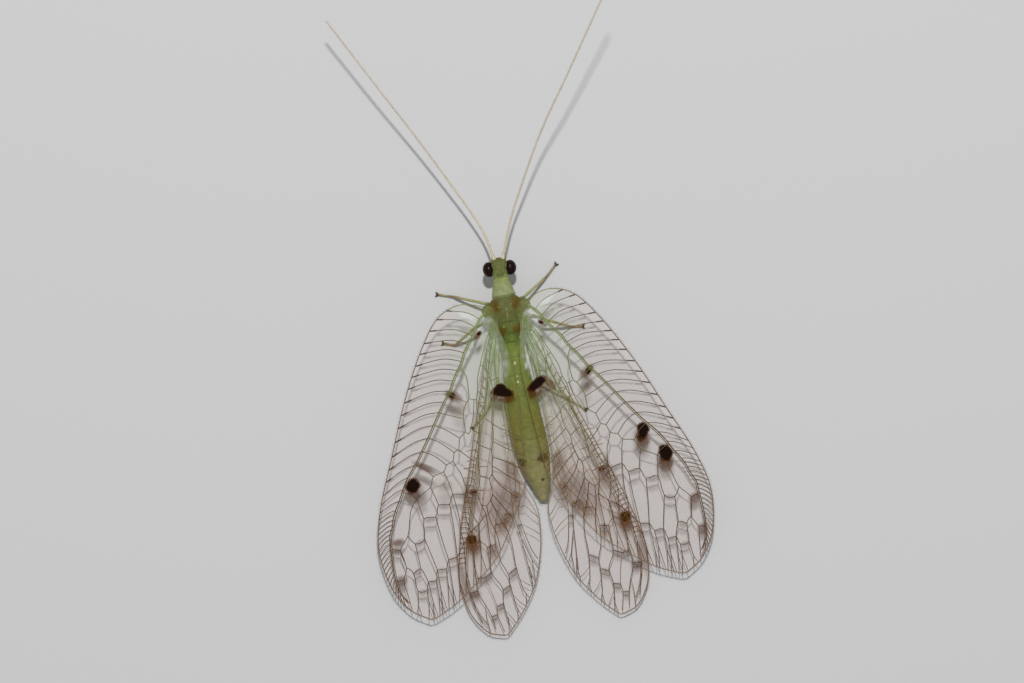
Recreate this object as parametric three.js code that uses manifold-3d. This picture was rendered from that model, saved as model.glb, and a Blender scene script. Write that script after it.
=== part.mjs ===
// A broad-winged green lacewing, life size, standing with its wings spread low like a roof.
// Millimetres. The head points to -Y, the back is up (+Z) and +X is the insect's own left.
import * as THREE from "three";
import { mergeVertices } from "three/addons/utils/BufferGeometryUtils.js";
import Module from "manifold-3d";

const wasm = await Module();
wasm.setup();

// Driving dimensions
const CUT = 0.08; // clear space between neighbouring pieces
const LIMB_RADIUS = 0.25; // legs and feelers, half a millimetre thick
const WING_THICKNESS = 0.5;
const WING_SPACING = 0.64; // from the hindwing's middle surface up to the forewing's
const NECK = { y: -8.4, z: 2.25 }; // where the head meets the prothorax
const HEAD_TURN = THREE.MathUtils.degToRad(-4.2); // the head looks a little to the insect's right
const SLIVER = 0.004; // shortest edge kept after a cut

// Lumps of the head, from the neck: centre and half sizes. The eye and the feeler's base are the left ones.
const CROWN = { centre: [0, -0.8, 0.02], halves: [0.6, 0.76, 0.52] };
const FACE = { centre: [0, -0.98, -0.42], halves: [0.42, 0.5, 0.62] };
const NAPE = { centre: [0, -0.3, -0.08], halves: [0.45, 0.42, 0.42] };
const LIP = { centre: [0, -1.16, -1.08], halves: [0.3, 0.3, 0.3] };
const JAWS = { centre: [0, -0.9, -1.12], halves: [0.34, 0.34, 0.28] };
const EYE = { centre: [0.8, -0.67, 0.06], halves: [0.47, 0.57, 0.54] };
const SCAPE = [[0.3, -1.25, 0.08], [0.36, -1.6, 0.16], [0.44, -1.98, 0.22]];

// The trunk's sections from the neck to the tail: y, sideways shift, half width, half height, centre height
const TRUNK = [
  [-8.4, 0, 0.6, 0.48, 2.25],
  [-7.6, 0, 0.76, 0.54, 2.22],
  [-6.95, 0, 0.94, 0.74, 2.16],
  [-6.3, 0, 1.24, 1.05, 2.06],
  [-5.3, 0, 1.32, 1.18, 2.0],
  [-4.4, 0, 1.25, 1.1, 1.98],
  [-3.6, 0, 0.92, 0.9, 1.92],
  [-2.4, 0.03, 0.84, 0.86, 1.72],
  [-1.0, 0.1, 1.04, 0.98, 1.52],
  [0.6, 0.14, 1.2, 1.06, 1.4],
  [2.8, 0.1, 1.3, 1.1, 1.38],
  [4.6, 0, 1.29, 1.06, 1.34],
  [6.1, -0.06, 1.08, 0.94, 1.14],
  [7.2, -0.15, 0.82, 0.78, 0.86],
  [7.9, -0.19, 0.63, 0.64, 0.56],
  [8.45, -0.21, 0.43, 0.5, 0.42],
  [8.85, -0.22, 0.24, 0.3, 0.34],
];
const THORAX_CUTS = { front: -8.4, pro: -6.95, meso: -4.95, rear: -3.45 };
const ABDOMEN_ENDS = [-3.45, -2.3, -0.9, 0.75, 2.4, 4.0, 5.6, 7.1, 8.85];

// Wing margins from the hinge to the tip, seen from above: outwards from the midline, then along Y
const FOREWING = {
  leading: [
    [0.7, -6.1], [1.65, -6.45], [3.38, -6.9], [5.25, -6.15], [6.98, -3.83], [8.78, -0.45], [10.43, 3.38],
    [12.0, 7.13], [12.68, 10.13], [12.23, 13.13], [11.18, 14.93], [9.95, 15.85],
  ],
  trailing: [
    [0.7, -5.4], [0.85, -4.7], [0.6, -3.6], [0.36, -2.2], [0.3, -0.8], [0.4, 0.6], [0.5, 2.25], [0.9, 6.75],
    [2.1, 9.15], [3.75, 11.85], [5.7, 13.65], [7.5, 15.0], [9.25, 15.8],
  ],
};
const HINDWING = {
  leading: [
    [0.7, -4.5], [1.9, -3.8], [2.85, -0.75], [4.13, 3.0], [5.25, 6.38], [6.15, 9.0], [6.9, 12.0],
    [7.13, 13.9], [6.75, 16.1], [5.78, 17.6], [4.7, 18.05],
  ],
  trailing: [
    [0.7, -3.8], [1.35, -3.0], [1.48, -1.0], [1.52, 1.5], [1.5, 4.6], [1.2, 6.9], [0.55, 8.6], [0.4, 9.9],
    [0.68, 12.0], [1.5, 14.5], [2.78, 16.5], [4.2, 18.0],
  ],
};
// Height of the forewings' ridge over the body, along Y
const RIDGE = [
  [-7, 3.32], [-3, 3.18], [0, 3.0], [4.5, 2.86], [8, 2.36], [12, 1.98], [18.2, 1.6],
];
const ROOF_SLOPE = 0.045; // fall of the wings, for each millimetre outwards
const HINGE = { x: 1.6, y: -5.9, drop: 0.42, reach: 1.3 }; // the wings dip to meet the thorax

// Leg paths from the hip to the claws: coxa, knee, ankle and foot, for each side as it stands
const LEGS = {
  fore: {
    left: [
      [0.5, -6.75, 1.6], [0.9, -6.5, 0.8], [1.36, -6.62, 1.6], [3.83, -7.65, 0.36], [4.88, -7.98, 0.2],
    ],
    right: [
      [-0.5, -6.75, 1.6], [-0.9, -6.5, 0.8], [-1.47, -6.63, 1.6], [-3.42, -7.85, 0.36], [-4.25, -8.6, 0.2],
    ],
  },
  mid: {
    left: [
      [0.62, -5.75, 1.25], [1.05, -5.5, 0.78], [2.63, -5.0, 2.1], [4.28, -4.0, 0.36], [5.1, -4.28, 0.2],
    ],
    right: [
      [-0.62, -5.75, 1.25], [-1.05, -5.5, 0.78], [-2.63, -4.73, 2.1], [-4.5, -3.83, 0.36],
      [-5.4, -3.68, 0.2],
    ],
  },
  hind: {
    left: [
      [0.62, -4.3, 1.25], [1.1, -3.85, 0.78], [1.72, -0.3, 1.5], [3.15, 1.6, 0.36], [4.08, 2.33, 0.2],
    ],
    right: [
      [-0.62, -4.3, 1.25], [-1.1, -3.85, 0.78], [-1.62, -0.35, 1.5], [-3.5, 1.6, 0.36], [-4.5, 2.48, 0.2],
    ],
  },
};
const COXA_RADIUS = 0.32;
const HEEL = 0.35; // share of the foot that slopes down; the rest lies flat

// Feeler paths from the socket to the tip
const FEELERS = {
  left: [
    [0.34, -10.5, 2.48], [0.61, -11.82, 2.5], [1.28, -13.54, 2.6], [2.16, -15.42, 2.75],
    [4.12, -19.45, 3.4], [6.65, -24.31, 4.2], [9.36, -29.57, 4.7],
  ],
  right: [
    [-0.68, -10.42, 2.52], [-1.01, -11.28, 2.8], [-1.65, -12.76, 3.2], [-2.59, -14.53, 3.9],
    [-4.89, -18.47, 5.8], [-7.68, -22.4, 8.2], [-10.95, -27.07, 10.3], [-11.77, -28.23, 10.6],
  ],
};

const paint = (color, roughness, extra = {}) =>
  new THREE.MeshStandardMaterial({ color, roughness, metalness: 0, ...extra });
const MATERIALS = {
  cuticle: paint(0x74853a, 0.45),
  pronotum: paint(0x93a07c, 0.5),
  eye: paint(0x1a0508, 0.12),
  leg: paint(0xa9a768, 0.5),
  feeler: paint(0xb9a88c, 0.55),
  wing: paint(0xcfd0bd, 0.25, { transparent: true, opacity: 0.6 }),
};

const insect = new THREE.Group();

// A solid from a closed geometry, whose shared vertices are merged by place alone.
function solidFrom(geometry) {
  geometry.deleteAttribute("normal");
  geometry.deleteAttribute("uv");
  const merged = mergeVertices(geometry, 1e-4);
  return new wasm.Manifold(
    new wasm.Mesh({
      numProp: 3,
      vertProperties: new Float32Array(merged.attributes.position.array),
      triVerts: new Uint32Array(merged.index.array),
    }),
  );
}

function addMesh(name, solid, material, parent = insect) {
  const { vertProperties, triVerts } = solid.simplify(SLIVER).getMesh();
  const geometry = new THREE.BufferGeometry();
  geometry.setAttribute("position", new THREE.BufferAttribute(vertProperties, 3));
  geometry.setIndex(new THREE.BufferAttribute(triVerts, 1));
  geometry.computeVertexNormals();
  const mesh = new THREE.Mesh(geometry, material.clone());
  mesh.name = name;
  parent.add(mesh);
  return mesh;
}

// Moves every vertex of a geometry to the place that a function gives for it.
function reshape(geometry, place) {
  const position = geometry.attributes.position;
  const vertex = new THREE.Vector3();
  for (let i = 0; i < position.count; i++) {
    place(vertex.fromBufferAttribute(position, i));
    position.setXYZ(i, vertex.x, vertex.y, vertex.z);
  }
  return geometry;
}

// Smooth values between the rows of a table whose first column rises.
function between(rows, at) {
  const last = rows.length - 1;
  let i = rows.findIndex((row) => row[0] > at) - 1;
  if (at <= rows[0][0]) i = 0;
  if (i < 0) i = last - 1;
  const [a, b] = [rows[i], rows[i + 1]];
  const [before, after] = [rows[Math.max(i - 1, 0)], rows[Math.min(i + 2, last)]];
  const span = b[0] - a[0];
  const t = THREE.MathUtils.clamp((at - a[0]) / span, 0, 1);
  return a.slice(1).map((value, k) => {
    const column = k + 1;
    const leave = ((b[column] - before[column]) / (b[0] - before[0])) * span;
    const arrive = ((after[column] - value) / (after[0] - a[0])) * span;
    return (
      value * (1 + t * t * (2 * t - 3)) +
      b[column] * t * t * (3 - 2 * t) +
      leave * t * (1 - t) * (1 - t) -
      arrive * t * t * (1 - t)
    );
  });
}

// A length of the trunk, oval in section; nothing reaches below the ground.
function trunkPiece(from, to, { sides = 16, steps = 4, grow = 0 } = {}) {
  const geometry = new THREE.CylinderGeometry(1, 1, to - from, sides, steps);
  const middle = (from + to) / 2;
  return solidFrom(
    reshape(geometry, (v) => {
      const y = middle + v.y;
      const [shift, halfWidth, halfHeight, height] = between(TRUNK, y);
      const end = Math.sign(v.y) * (Math.abs(v.y) > (to - from) / 2 - 1e-6 ? grow : 0);
      const z = height + v.z * (halfHeight + grow);
      v.set(shift + v.x * (halfWidth + grow), y + end, grow ? z : Math.max(z, 0));
    }),
  );
}

// A limb along a smooth path, round in section, with flat ends; nothing reaches below the ground.
function limb(points, { radius = LIMB_RADIUS, sides = 8, steps = 4, grow = 0, rounded = false } = {}) {
  const path = new THREE.CatmullRomCurve3(points.map((p) => new THREE.Vector3(...p)));
  const up = new THREE.Vector3(0, 0, 1);
  const geometry = new THREE.CylinderGeometry(1, 1, 1, sides, steps).rotateY(Math.PI / sides);
  return solidFrom(
    reshape(geometry, (v) => {
      const along = v.y + 0.5;
      const centre = path.getPointAt(along);
      const tangent = path.getTangentAt(along);
      const side = tangent.clone().cross(up).normalize();
      const top = side.clone().cross(tangent);
      const size = (rounded && along > 1 - 1e-6 ? 0.6 * radius : radius) + grow;
      centre.addScaledVector(side, v.x * size).addScaledVector(top, v.z * size);
      if (along < 1e-6) centre.addScaledVector(tangent, -grow);
      if (along > 1 - 1e-6) centre.addScaledVector(tangent, grow);
      v.copy(centre);
      if (!grow) v.z = Math.max(v.z, 0);
    }),
  );
}

// An egg-shaped lump.
function lump({ centre, halves }, { across = 16, down = 10, grow = 0 } = {}) {
  const geometry = new THREE.SphereGeometry(1, across, down);
  geometry.rotateX(Math.PI / 2);
  geometry.scale(...halves.map((half) => half + grow));
  geometry.translate(...centre);
  return solidFrom(geometry);
}

const trim = (solid, ...neighbours) =>
  neighbours.reduce((left, neighbour) => left.subtract(neighbour), solid);

// The largest piece left by a cut.
const mainPiece = (solid) =>
  solid.decompose().reduce((a, b) => (a.volume() > b.volume() ? a : b));

// Head: a wedge-shaped capsule whose face slopes down to the mouth, in its own turned frame
const head = new THREE.Group();
head.position.set(0, NECK.y, NECK.z);
head.rotation.z = HEAD_TURN;
insect.add(head);

const FINE = { across: 18, down: 12 };
const COARSE = { across: 12, down: 8 };
const headCapsule = (grow = 0) =>
  lump(CROWN, { ...FINE, grow }).add(lump(FACE, { grow })).add(lump(NAPE, { grow }));
const behindNeck = solidFrom(new THREE.BoxGeometry(3, 2, 3).translate(0, 1 - CUT / 2, 0));
addMesh("head", headCapsule().subtract(behindNeck), MATERIALS.cuticle, head);

const headWithRoom = headCapsule(CUT);
const mouth = lump(LIP, COARSE).add(lump(JAWS, COARSE));
addMesh("mouthparts", mainPiece(trim(mouth, headWithRoom)), MATERIALS.feeler, head);

for (const [side, sign] of [["left", 1], ["right", -1]]) {
  const mirrored = ([x, y, z]) => [sign * x, y, z];
  const eyeLump = { centre: mirrored(EYE.centre), halves: EYE.halves };
  addMesh("eye_" + side, mainPiece(trim(lump(eyeLump, FINE), headWithRoom)), MATERIALS.eye, head);
  const scape = trim(limb(SCAPE.map(mirrored)), headWithRoom, lump(eyeLump, { grow: CUT }));
  addMesh("antenna_" + side + "_scape", mainPiece(scape), MATERIALS.feeler, head);
  const flagellum = limb(FEELERS[side], { sides: 6, steps: 26, rounded: true });
  addMesh("antenna_" + side + "_flagellum", flagellum, MATERIALS.feeler);
}

// Thorax: the long shield behind the head and the two winged rings, parted by thin cuts
const half = CUT / 2;
const { front, pro, meso, rear } = THORAX_CUTS;
addMesh("prothorax", trunkPiece(front + half, pro - half), MATERIALS.pronotum);
addMesh("mesothorax", trunkPiece(pro + half, meso - half, { steps: 5 }), MATERIALS.cuticle);
addMesh("metathorax", trunkPiece(meso + half, rear - half, { steps: 4 }), MATERIALS.cuticle);
const thoraxWithRoom = trunkPiece(front, rear, { steps: 12, grow: CUT });

// Abdomen: eight rings, the last of which rests on the ground
for (let i = 0; i + 1 < ABDOMEN_ENDS.length; i++) {
  const ring = trunkPiece(ABDOMEN_ENDS[i] + half, ABDOMEN_ENDS[i + 1] - half, { steps: 4 });
  addMesh("abdomen_" + (i + 1), ring, MATERIALS.cuticle);
}

// Legs: each hip, thigh, shin and foot, the foot flat on the ground
for (const [pair, paths] of Object.entries(LEGS))
  for (const [side, [hip, trochanter, knee, ankle, toe]] of Object.entries(paths)) {
    const [ball, sole] = [HEEL, 0.5 + HEEL / 2].map((share) => [
      THREE.MathUtils.lerp(ankle[0], toe[0], share),
      THREE.MathUtils.lerp(ankle[1], toe[1], share),
      toe[2],
    ]);
    const stretches = {
      coxa: [[hip, trochanter], { radius: COXA_RADIUS, steps: 1 }],
      femur: [[trochanter, knee], { steps: 2 }],
      tibia: [[knee, ankle], { steps: 2 }],
      tarsus: [[ankle, ball, sole, toe], { steps: 4 }],
    };
    let roomBefore = thoraxWithRoom;
    for (const [stretch, [path, shape]] of Object.entries(stretches)) {
      const solid = mainPiece(trim(limb(path, shape), roomBefore));
      addMesh(["leg", pair, side, stretch].join("_"), solid, MATERIALS.leg);
      roomBefore = limb(path, { ...shape, grow: CUT });
    }
  }

// The forewings' middle surface: a low roof that dips to the hinge. The hindwings lie parallel, below it.
function roofHeight(x, y) {
  const [ridge] = between(RIDGE, y);
  const away = Math.hypot(x - HINGE.x, y - HINGE.y) / HINGE.reach;
  return ridge - ROOF_SLOPE * x - HINGE.drop * Math.exp(-away * away);
}

// A wing plate between its two margins, shaped for the left side.
function wingPlate({ leading, trailing }, below, along, across) {
  const [outer, inner] = [leading, trailing].map(
    (points) => new THREE.SplineCurve(points.map((p) => new THREE.Vector2(...p))),
  );
  const geometry = new THREE.BoxGeometry(1, 1, 1, along, across, 1);
  return solidFrom(
    reshape(geometry, (v) => {
      const station = v.x + 0.5;
      const place = outer.getPointAt(station).lerp(inner.getPointAt(station), v.y + 0.5);
      const height = roofHeight(place.x, place.y) - below + v.z * WING_THICKNESS;
      v.set(place.x, place.y, height);
    }),
  );
}

const trunkWithRoom = trunkPiece(front, ABDOMEN_ENDS.at(-1), { steps: 24, grow: CUT });
const forewing = mainPiece(trim(wingPlate(FOREWING, 0, 27, 6), trunkWithRoom));
const hindwing = mainPiece(trim(wingPlate(HINDWING, WING_SPACING, 25, 5), trunkWithRoom));
for (const [side, sign] of [["left", 1], ["right", -1]]) {
  addMesh("forewing_" + side, forewing, MATERIALS.wing).scale.x = sign;
  addMesh("hindwing_" + side, hindwing, MATERIALS.wing).scale.x = sign;
}

// The origin is on the ground, under the middle of the whole insect
const bounds = new THREE.Box3().setFromObject(insect);
const middle = bounds.getCenter(new THREE.Vector3());
insect.position.set(-middle.x, -middle.y, 0);

export default insect;
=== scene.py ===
"""A green lacewing, life size, as a still museum model, in millimetres until each piece is finished."""

import math
import random

import bmesh
import bpy
from mathutils import Color, Matrix, Vector, noise


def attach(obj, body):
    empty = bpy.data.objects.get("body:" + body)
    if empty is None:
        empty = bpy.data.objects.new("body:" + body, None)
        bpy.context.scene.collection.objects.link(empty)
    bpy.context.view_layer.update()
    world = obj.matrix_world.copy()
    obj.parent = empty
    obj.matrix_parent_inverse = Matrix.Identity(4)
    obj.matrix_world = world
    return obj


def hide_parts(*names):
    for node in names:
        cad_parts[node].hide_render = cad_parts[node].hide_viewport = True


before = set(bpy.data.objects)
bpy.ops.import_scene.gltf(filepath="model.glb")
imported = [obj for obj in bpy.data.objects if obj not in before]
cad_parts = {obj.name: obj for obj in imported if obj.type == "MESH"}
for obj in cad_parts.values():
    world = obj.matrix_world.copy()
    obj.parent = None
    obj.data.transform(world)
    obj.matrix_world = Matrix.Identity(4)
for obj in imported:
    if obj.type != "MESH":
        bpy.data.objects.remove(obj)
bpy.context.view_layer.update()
random.seed(11)


# The body: thorax and abdomen of soft green cuticle, a grey-green neck shield, and the head.
# It is one skin, lofted along the back, closed up with a voxel remesh, and then carved into
# its rings, lobes and sutures.

FRAME_AHEAD = 5.7943
METRES = 0.001

TRUNK = [
    # along the body, sideways, half width, half height, height of the middle
    (-8.4, 0, 0.6, 0.48, 2.25),
    (-7.6, 0, 0.76, 0.54, 2.22),
    (-6.95, 0, 0.94, 0.74, 2.16),
    (-6.3, 0, 1.24, 1.05, 2.06),
    (-5.3, 0, 1.32, 1.18, 2.0),
    (-4.4, 0, 1.25, 1.1, 1.98),
    (-3.6, 0, 0.92, 0.9, 1.92),
    (-2.4, 0.03, 0.84, 0.86, 1.72),
    (-1.0, 0.1, 1.04, 0.98, 1.52),
    (0.6, 0.14, 1.2, 1.06, 1.4),
    (2.8, 0.1, 1.3, 1.1, 1.38),
    (4.6, 0, 1.29, 1.06, 1.34),
    (6.1, -0.06, 1.08, 0.94, 1.14),
    (7.2, -0.15, 0.82, 0.78, 0.86),
    (7.9, -0.19, 0.63, 0.64, 0.56),
    (8.45, -0.21, 0.43, 0.5, 0.42),
    (8.85, -0.22, 0.24, 0.3, 0.34),
]
SHIELD_END, MIDDLE_END, THORAX_END = -6.95, -4.95, -3.45
ABDOMEN_ENDS = (-3.45, -2.3, -0.9, 0.75, 2.4, 4.0, 5.6, 7.1)
NECK = Vector((0, -8.4, 2.25))
HEAD_TURN = math.radians(-4.2)
EYE_PLACE, EYE_HALVES = (0.8, -0.67, 0.0), (0.47, 0.57, 0.49)
TRUNK_VOXEL, HEAD_VOXEL, SMOOTHINGS = 0.05, 0.026, 3


def between(rows, at):
    """The row at this first value, eased smoothly from one listed row to the next."""
    if at <= rows[0][0]:
        return rows[0][1:]
    for low, high in zip(rows, rows[1:]):
        if at <= high[0]:
            part = (at - low[0]) / (high[0] - low[0])
            return [a + (b - a) * part for a, b in zip(low[1:], high[1:])]
    return rows[-1][1:]


def smooth_rows(rows, steps=6):
    """The rows with a smooth curve's rows between them."""
    out = []
    for i in range(len(rows) - 1):
        before, low, high = rows[max(i - 1, 0)], rows[i], rows[i + 1]
        after = rows[min(i + 2, len(rows) - 1)]
        for k in range(steps):
            out.append(tuple(catmull(*spot, k / steps) for spot in zip(before, low, high, after)))
    return out + [tuple(rows[-1])]


def catmull(a, b, c, d, t):
    """A point on the smooth curve from b to c, with a before them and d after."""
    return 0.5 * (2 * b + (c - a) * t + (2 * a - 5 * b + 4 * c - d) * t * t + (3 * b - a - 3 * c + d) * t**3)


def linear(red, green, blue):
    """A screen colour of 0 to 255 as the shader's own linear numbers."""
    colour = Color((red / 255, green / 255, blue / 255)).from_srgb_to_scene_linear()
    return (*colour, 1.0)


def bump(distance, width):
    """1 at no distance, falling smoothly to nothing a few widths away."""
    return math.exp(-((distance / width) ** 2))


def mesh_of(bm, name):
    mesh = bpy.data.meshes.new(name)
    bm.to_mesh(mesh)
    bm.free()
    return mesh


def evaluated(data, name, voxel=None):
    """The mesh of a curve or mesh after its own settings, or a voxel remesh, are applied."""
    holder = bpy.data.objects.new(name, data)
    bpy.context.scene.collection.objects.link(holder)
    if voxel:
        remesh = holder.modifiers.new("voxels", "REMESH")
        remesh.mode = "VOXEL"
        remesh.voxel_size = voxel
    ready = holder.evaluated_get(bpy.context.evaluated_depsgraph_get())
    mesh = bpy.data.meshes.new_from_object(ready)
    bpy.data.objects.remove(holder)
    return mesh


def finish_piece(name, mesh, material, replaces=(), tint=None):
    """The mesh in metres where the frame has it, tinted point by point, on the model's one body."""
    if tint:
        colours = mesh.color_attributes.new("tint", "FLOAT_COLOR", "POINT")
        for vertex, colour in zip(mesh.vertices, colours.data):
            colour.color = tint(vertex.co, vertex.normal)
    mesh.transform(Matrix.Scale(METRES, 4) @ Matrix.Translation((0, FRAME_AHEAD, 0)))
    mesh.shade_smooth()
    mesh.materials.clear()
    mesh.materials.append(material)
    piece = bpy.data.objects.new(name, mesh)
    bpy.context.scene.collection.objects.link(piece)
    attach(piece, "root")
    if replaces:
        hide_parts(*replaces)
    return piece


class Signal:
    """A shader socket that Python's own operators work on."""

    def __init__(self, finish, socket):
        self.finish, self.socket = finish, socket

    def maths(self, operation, first, second):
        return self.finish.node("ShaderNodeMath", {"operation": operation}, {0: first, 1: second})

    def __add__(self, other):
        return self.maths("ADD", self, other)

    def __sub__(self, other):
        return self.maths("SUBTRACT", self, other)

    def __rsub__(self, other):
        return self.maths("SUBTRACT", other, self)

    def __mul__(self, other):
        return self.maths("MULTIPLY", self, other)

    __radd__, __rmul__ = __add__, __mul__


class Finish:
    """One procedural material, with its nodes made by node() and its surface by surface()."""

    def __init__(self, name):
        self.material = bpy.data.materials.new(name)
        self.material.use_nodes = True
        self.tree = self.material.node_tree
        self.tree.nodes.clear()

    def node(self, kind, settings=None, inputs=None, output=0):
        """A node of this kind, with its settings and then the values or links of its sockets."""
        made = self.tree.nodes.new(kind)
        for key, value in (settings or {}).items():
            setattr(made, key, value)
        for key, value in (inputs or {}).items():
            if isinstance(value, Signal):
                self.tree.links.new(value.socket, made.inputs[key])
            else:
                made.inputs[key].default_value = value
        return Signal(self, made.outputs[output])

    def place(self):
        return self.node("ShaderNodeTexCoord", output="Object")

    def attribute(self, name, output="Color"):
        return self.node("ShaderNodeAttribute", {"attribute_name": name}, output=output)

    def grain(self, scale, detail=3.0, roughness=0.55):
        """Cloudy noise of 0 to 1, with this many lumps to a metre."""
        inputs = {"Vector": self.place(), "Scale": scale, "Detail": detail, "Roughness": roughness}
        return self.node("ShaderNodeTexNoise", None, inputs, "Fac")

    def ramp(self, signal, low, high, start=0.0, end=1.0):
        settings = {"clamp": True}
        inputs = {"Value": signal, "From Min": low, "From Max": high, "To Min": start, "To Max": end}
        return self.node("ShaderNodeMapRange", settings, inputs)

    def mix(self, share, first, second, blend="MIX"):
        """Two colours mixed."""
        settings = {"data_type": "RGBA", "blend_type": blend}
        return self.node("ShaderNodeMix", settings, {0: share, 6: first, 7: second}, 2)

    def relief(self, height, depth):
        """The surface normal over bumps this many metres deep."""
        return self.node("ShaderNodeBump", None, {"Height": height, "Distance": depth, "Strength": 1.0})

    def surface(self, **inputs):
        """The finished material, from the main shader's sockets by name."""
        named = {key.replace("_", " ").title().replace("Ior", "IOR"): value for key, value in inputs.items()}
        shader = self.node("ShaderNodeBsdfPrincipled", None, named)
        output = self.tree.nodes.new("ShaderNodeOutputMaterial")
        self.tree.links.new(shader.socket, output.inputs["Surface"])
        return self.material


def tinted(name, roughness, mottle=0.25, scale=2600.0, depth=0.000012, **more):
    """A finish that takes its colour from the mesh's tint, with a fine mottle and relief."""
    finish = Finish(name)
    fine = finish.grain(scale)
    shade = finish.ramp(fine, 0.3, 0.7, 1.0 - mottle, 1.0)
    grey = finish.node("ShaderNodeCombineColor", None, {"Red": shade, "Green": shade, "Blue": shade})
    colour = finish.mix(1.0, finish.attribute("tint"), grey, "MULTIPLY")
    normal = finish.relief(finish.grain(scale * 3, 2.0), depth)
    return finish.surface(base_color=colour, roughness=roughness, normal=normal, **more)


BODY_ROWS = smooth_rows(TRUNK)
BACK_COLOURS = [
    (-10.4, 120, 120, 64),
    (-9.6, 104, 108, 56),
    (-9.0, 108, 114, 58),
    (-8.6, 110, 120, 62),
    (-8.35, 138, 150, 86),
    (-7.9, 152, 160, 108),
    (-7.1, 156, 162, 116),
    (-6.85, 104, 108, 60),
    (-5.0, 96, 102, 46),
    (-3.6, 100, 120, 48),
    (-2.9, 127, 142, 66),
    (-0.4, 122, 130, 56),
    (0.8, 116, 124, 52),
    (2.6, 116, 118, 47),
    (4.6, 129, 129, 73),
    (6.5, 153, 146, 95),
    (8.8, 164, 154, 108),
]
BELLY_COLOUR = (158, 164, 118)
BODY_MARKS_AND_HIGHLIGHTS = [
    # across and along the body, half width, half length, colour, strength
    (0.82, -6.3, 0.4, 0.5, (100, 78, 14), 0.85),
    (-0.78, -6.35, 0.4, 0.46, (100, 78, 14), 0.85),
    (0.66, -4.4, 0.42, 0.36, (94, 72, 10), 0.85),
    (-0.64, -4.4, 0.42, 0.36, (100, 74, 12), 0.85),
    (1.65, -6.0, 0.45, 0.6, (122, 130, 76), 0.6),
    (-1.65, -6.0, 0.45, 0.6, (122, 130, 76), 0.6),
    (1.5, -4.4, 0.4, 0.5, (120, 132, 80), 0.6),
    (-1.5, -4.4, 0.4, 0.5, (120, 132, 80), 0.6),
    (0.0, -6.0, 0.06, 0.07, (196, 168, 70), 0.9),
    (0.0, -5.55, 0.045, 0.42, (150, 132, 44), 0.7),
    # The next two pale marks on the thorax are painted highlights.
    (0.5, -6.2, 0.16, 0.05, (140, 142, 76), 0.6),
    (-0.42, -6.3, 0.05, 0.05, (170, 172, 110), 0.7),
    (0.42, -4.7, 0.06, 0.06, (178, 184, 96), 0.8),
    # A painted highlight on the thorax.
    (-0.62, -3.75, 0.09, 0.06, (210, 214, 160), 0.8),
    (1.3, -4.05, 0.1, 0.1, (170, 182, 110), 0.7),
    (0.4, -8.42, 0.17, 0.17, (160, 180, 108), 0.6),
    (-0.4, -8.42, 0.17, 0.17, (160, 180, 108), 0.6),
    (-0.07, -9.88, 0.2, 0.16, (122, 92, 44), 0.7),
    (-0.38, 7.1, 0.12, 0.1, (62, 52, 30), 0.8),
    (-0.7, 5.5, 0.4, 0.32, (80, 64, 26), 0.9),
    (0.95, 5.6, 0.34, 0.3, (76, 60, 26), 0.9),
    # Three painted highlights down the middle of the abdomen's back.
    (0.09, -1.89, 0.07, 0.1, (236, 242, 222), 0.9),
    (0.12, -0.9, 0.05, 0.05, (236, 242, 222), 0.9),
    (0.14, -0.44, 0.07, 0.07, (236, 242, 222), 0.9),
]


def body_tint(place, normal):
    """The skin's colour: green bands down the back, a paler belly, the thorax's marks, and painted
    highlights on the thorax and the abdomen's back.
    """
    sideways, half_width, half_height, middle = between(BODY_ROWS, place.y)
    colour = Vector(between(BACK_COLOURS, place.y))
    under = min(max(0.25 - (place.z - middle) / half_height, 0), 1) if place.y > NECK.y else 0
    colour = colour.lerp(Vector(BELLY_COLOUR), under * 0.8)
    if normal.z > -0.2:
        for across, along, wide, long, ink, strength in BODY_MARKS_AND_HIGHLIGHTS:
            reach = math.hypot((place.x - across) / wide, (place.y - along) / long)
            if reach < 2:
                reach += 0.35 * noise.noise(place * 4)
                colour = colour.lerp(Vector(ink), strength * min(max(1.35 - reach, 0) / 0.7, 1))
    return linear(*colour)


def trunk_shell():
    """The thorax and abdomen as a closed loft, from a sphere with its poles along the body."""
    bm = bmesh.new()
    bmesh.ops.create_uvsphere(bm, u_segments=72, v_segments=220, radius=1.0)
    front, back = TRUNK[0][0], TRUNK[-1][0]
    for vertex in bm.verts:
        pole = math.acos(max(-1, min(1, -vertex.co.z))) / math.pi
        along = front - 0.1 + (back - front + 0.1) * pole
        sideways, half_width, half_height, middle = between(BODY_ROWS, along)
        ring = math.hypot(vertex.co.x, vertex.co.y)
        full = min(1.0, ring / 0.035) ** 0.5
        turn = math.atan2(vertex.co.y, vertex.co.x)
        vertex.co = (
            sideways + math.cos(turn) * half_width * full,
            along,
            middle + math.sin(turn) * half_height * full,
        )
    bmesh.ops.recalc_face_normals(bm, faces=bm.faces)
    return bm


def add_lumps(bm, lumps):
    """Egg-shaped lumps in the mesh: one for a row on the middle line, and otherwise one a side."""
    for out, along, up, *halves in lumps:
        for side in (-1, 1) if out else (1,):
            matrix = Matrix.Translation((side * out, along, up)) @ Matrix.Diagonal((*halves, 1))
            bmesh.ops.create_uvsphere(bm, u_segments=40, v_segments=28, radius=1.0, matrix=matrix)


RING_GROOVE, RING_SWELL, SWELL_AHEAD = (0.028, 0.06), (0.014, 0.16), 0.22
SEAMS, SEAM_WIDTH = ((SHIELD_END, 0.1), (MIDDLE_END, 0.05), (THORAX_END, 0.03)), 0.08
SIDE_FOLD, WRINKLES = (0.05, 0.12), 0.012
BACK_LOBES = [
    # where a ring's V-shaped line starts, where its pair of lobes stands, and how high
    (-5.75, -6.35, 0.12),
    (-4.15, -4.6, 0.1),
]


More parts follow.
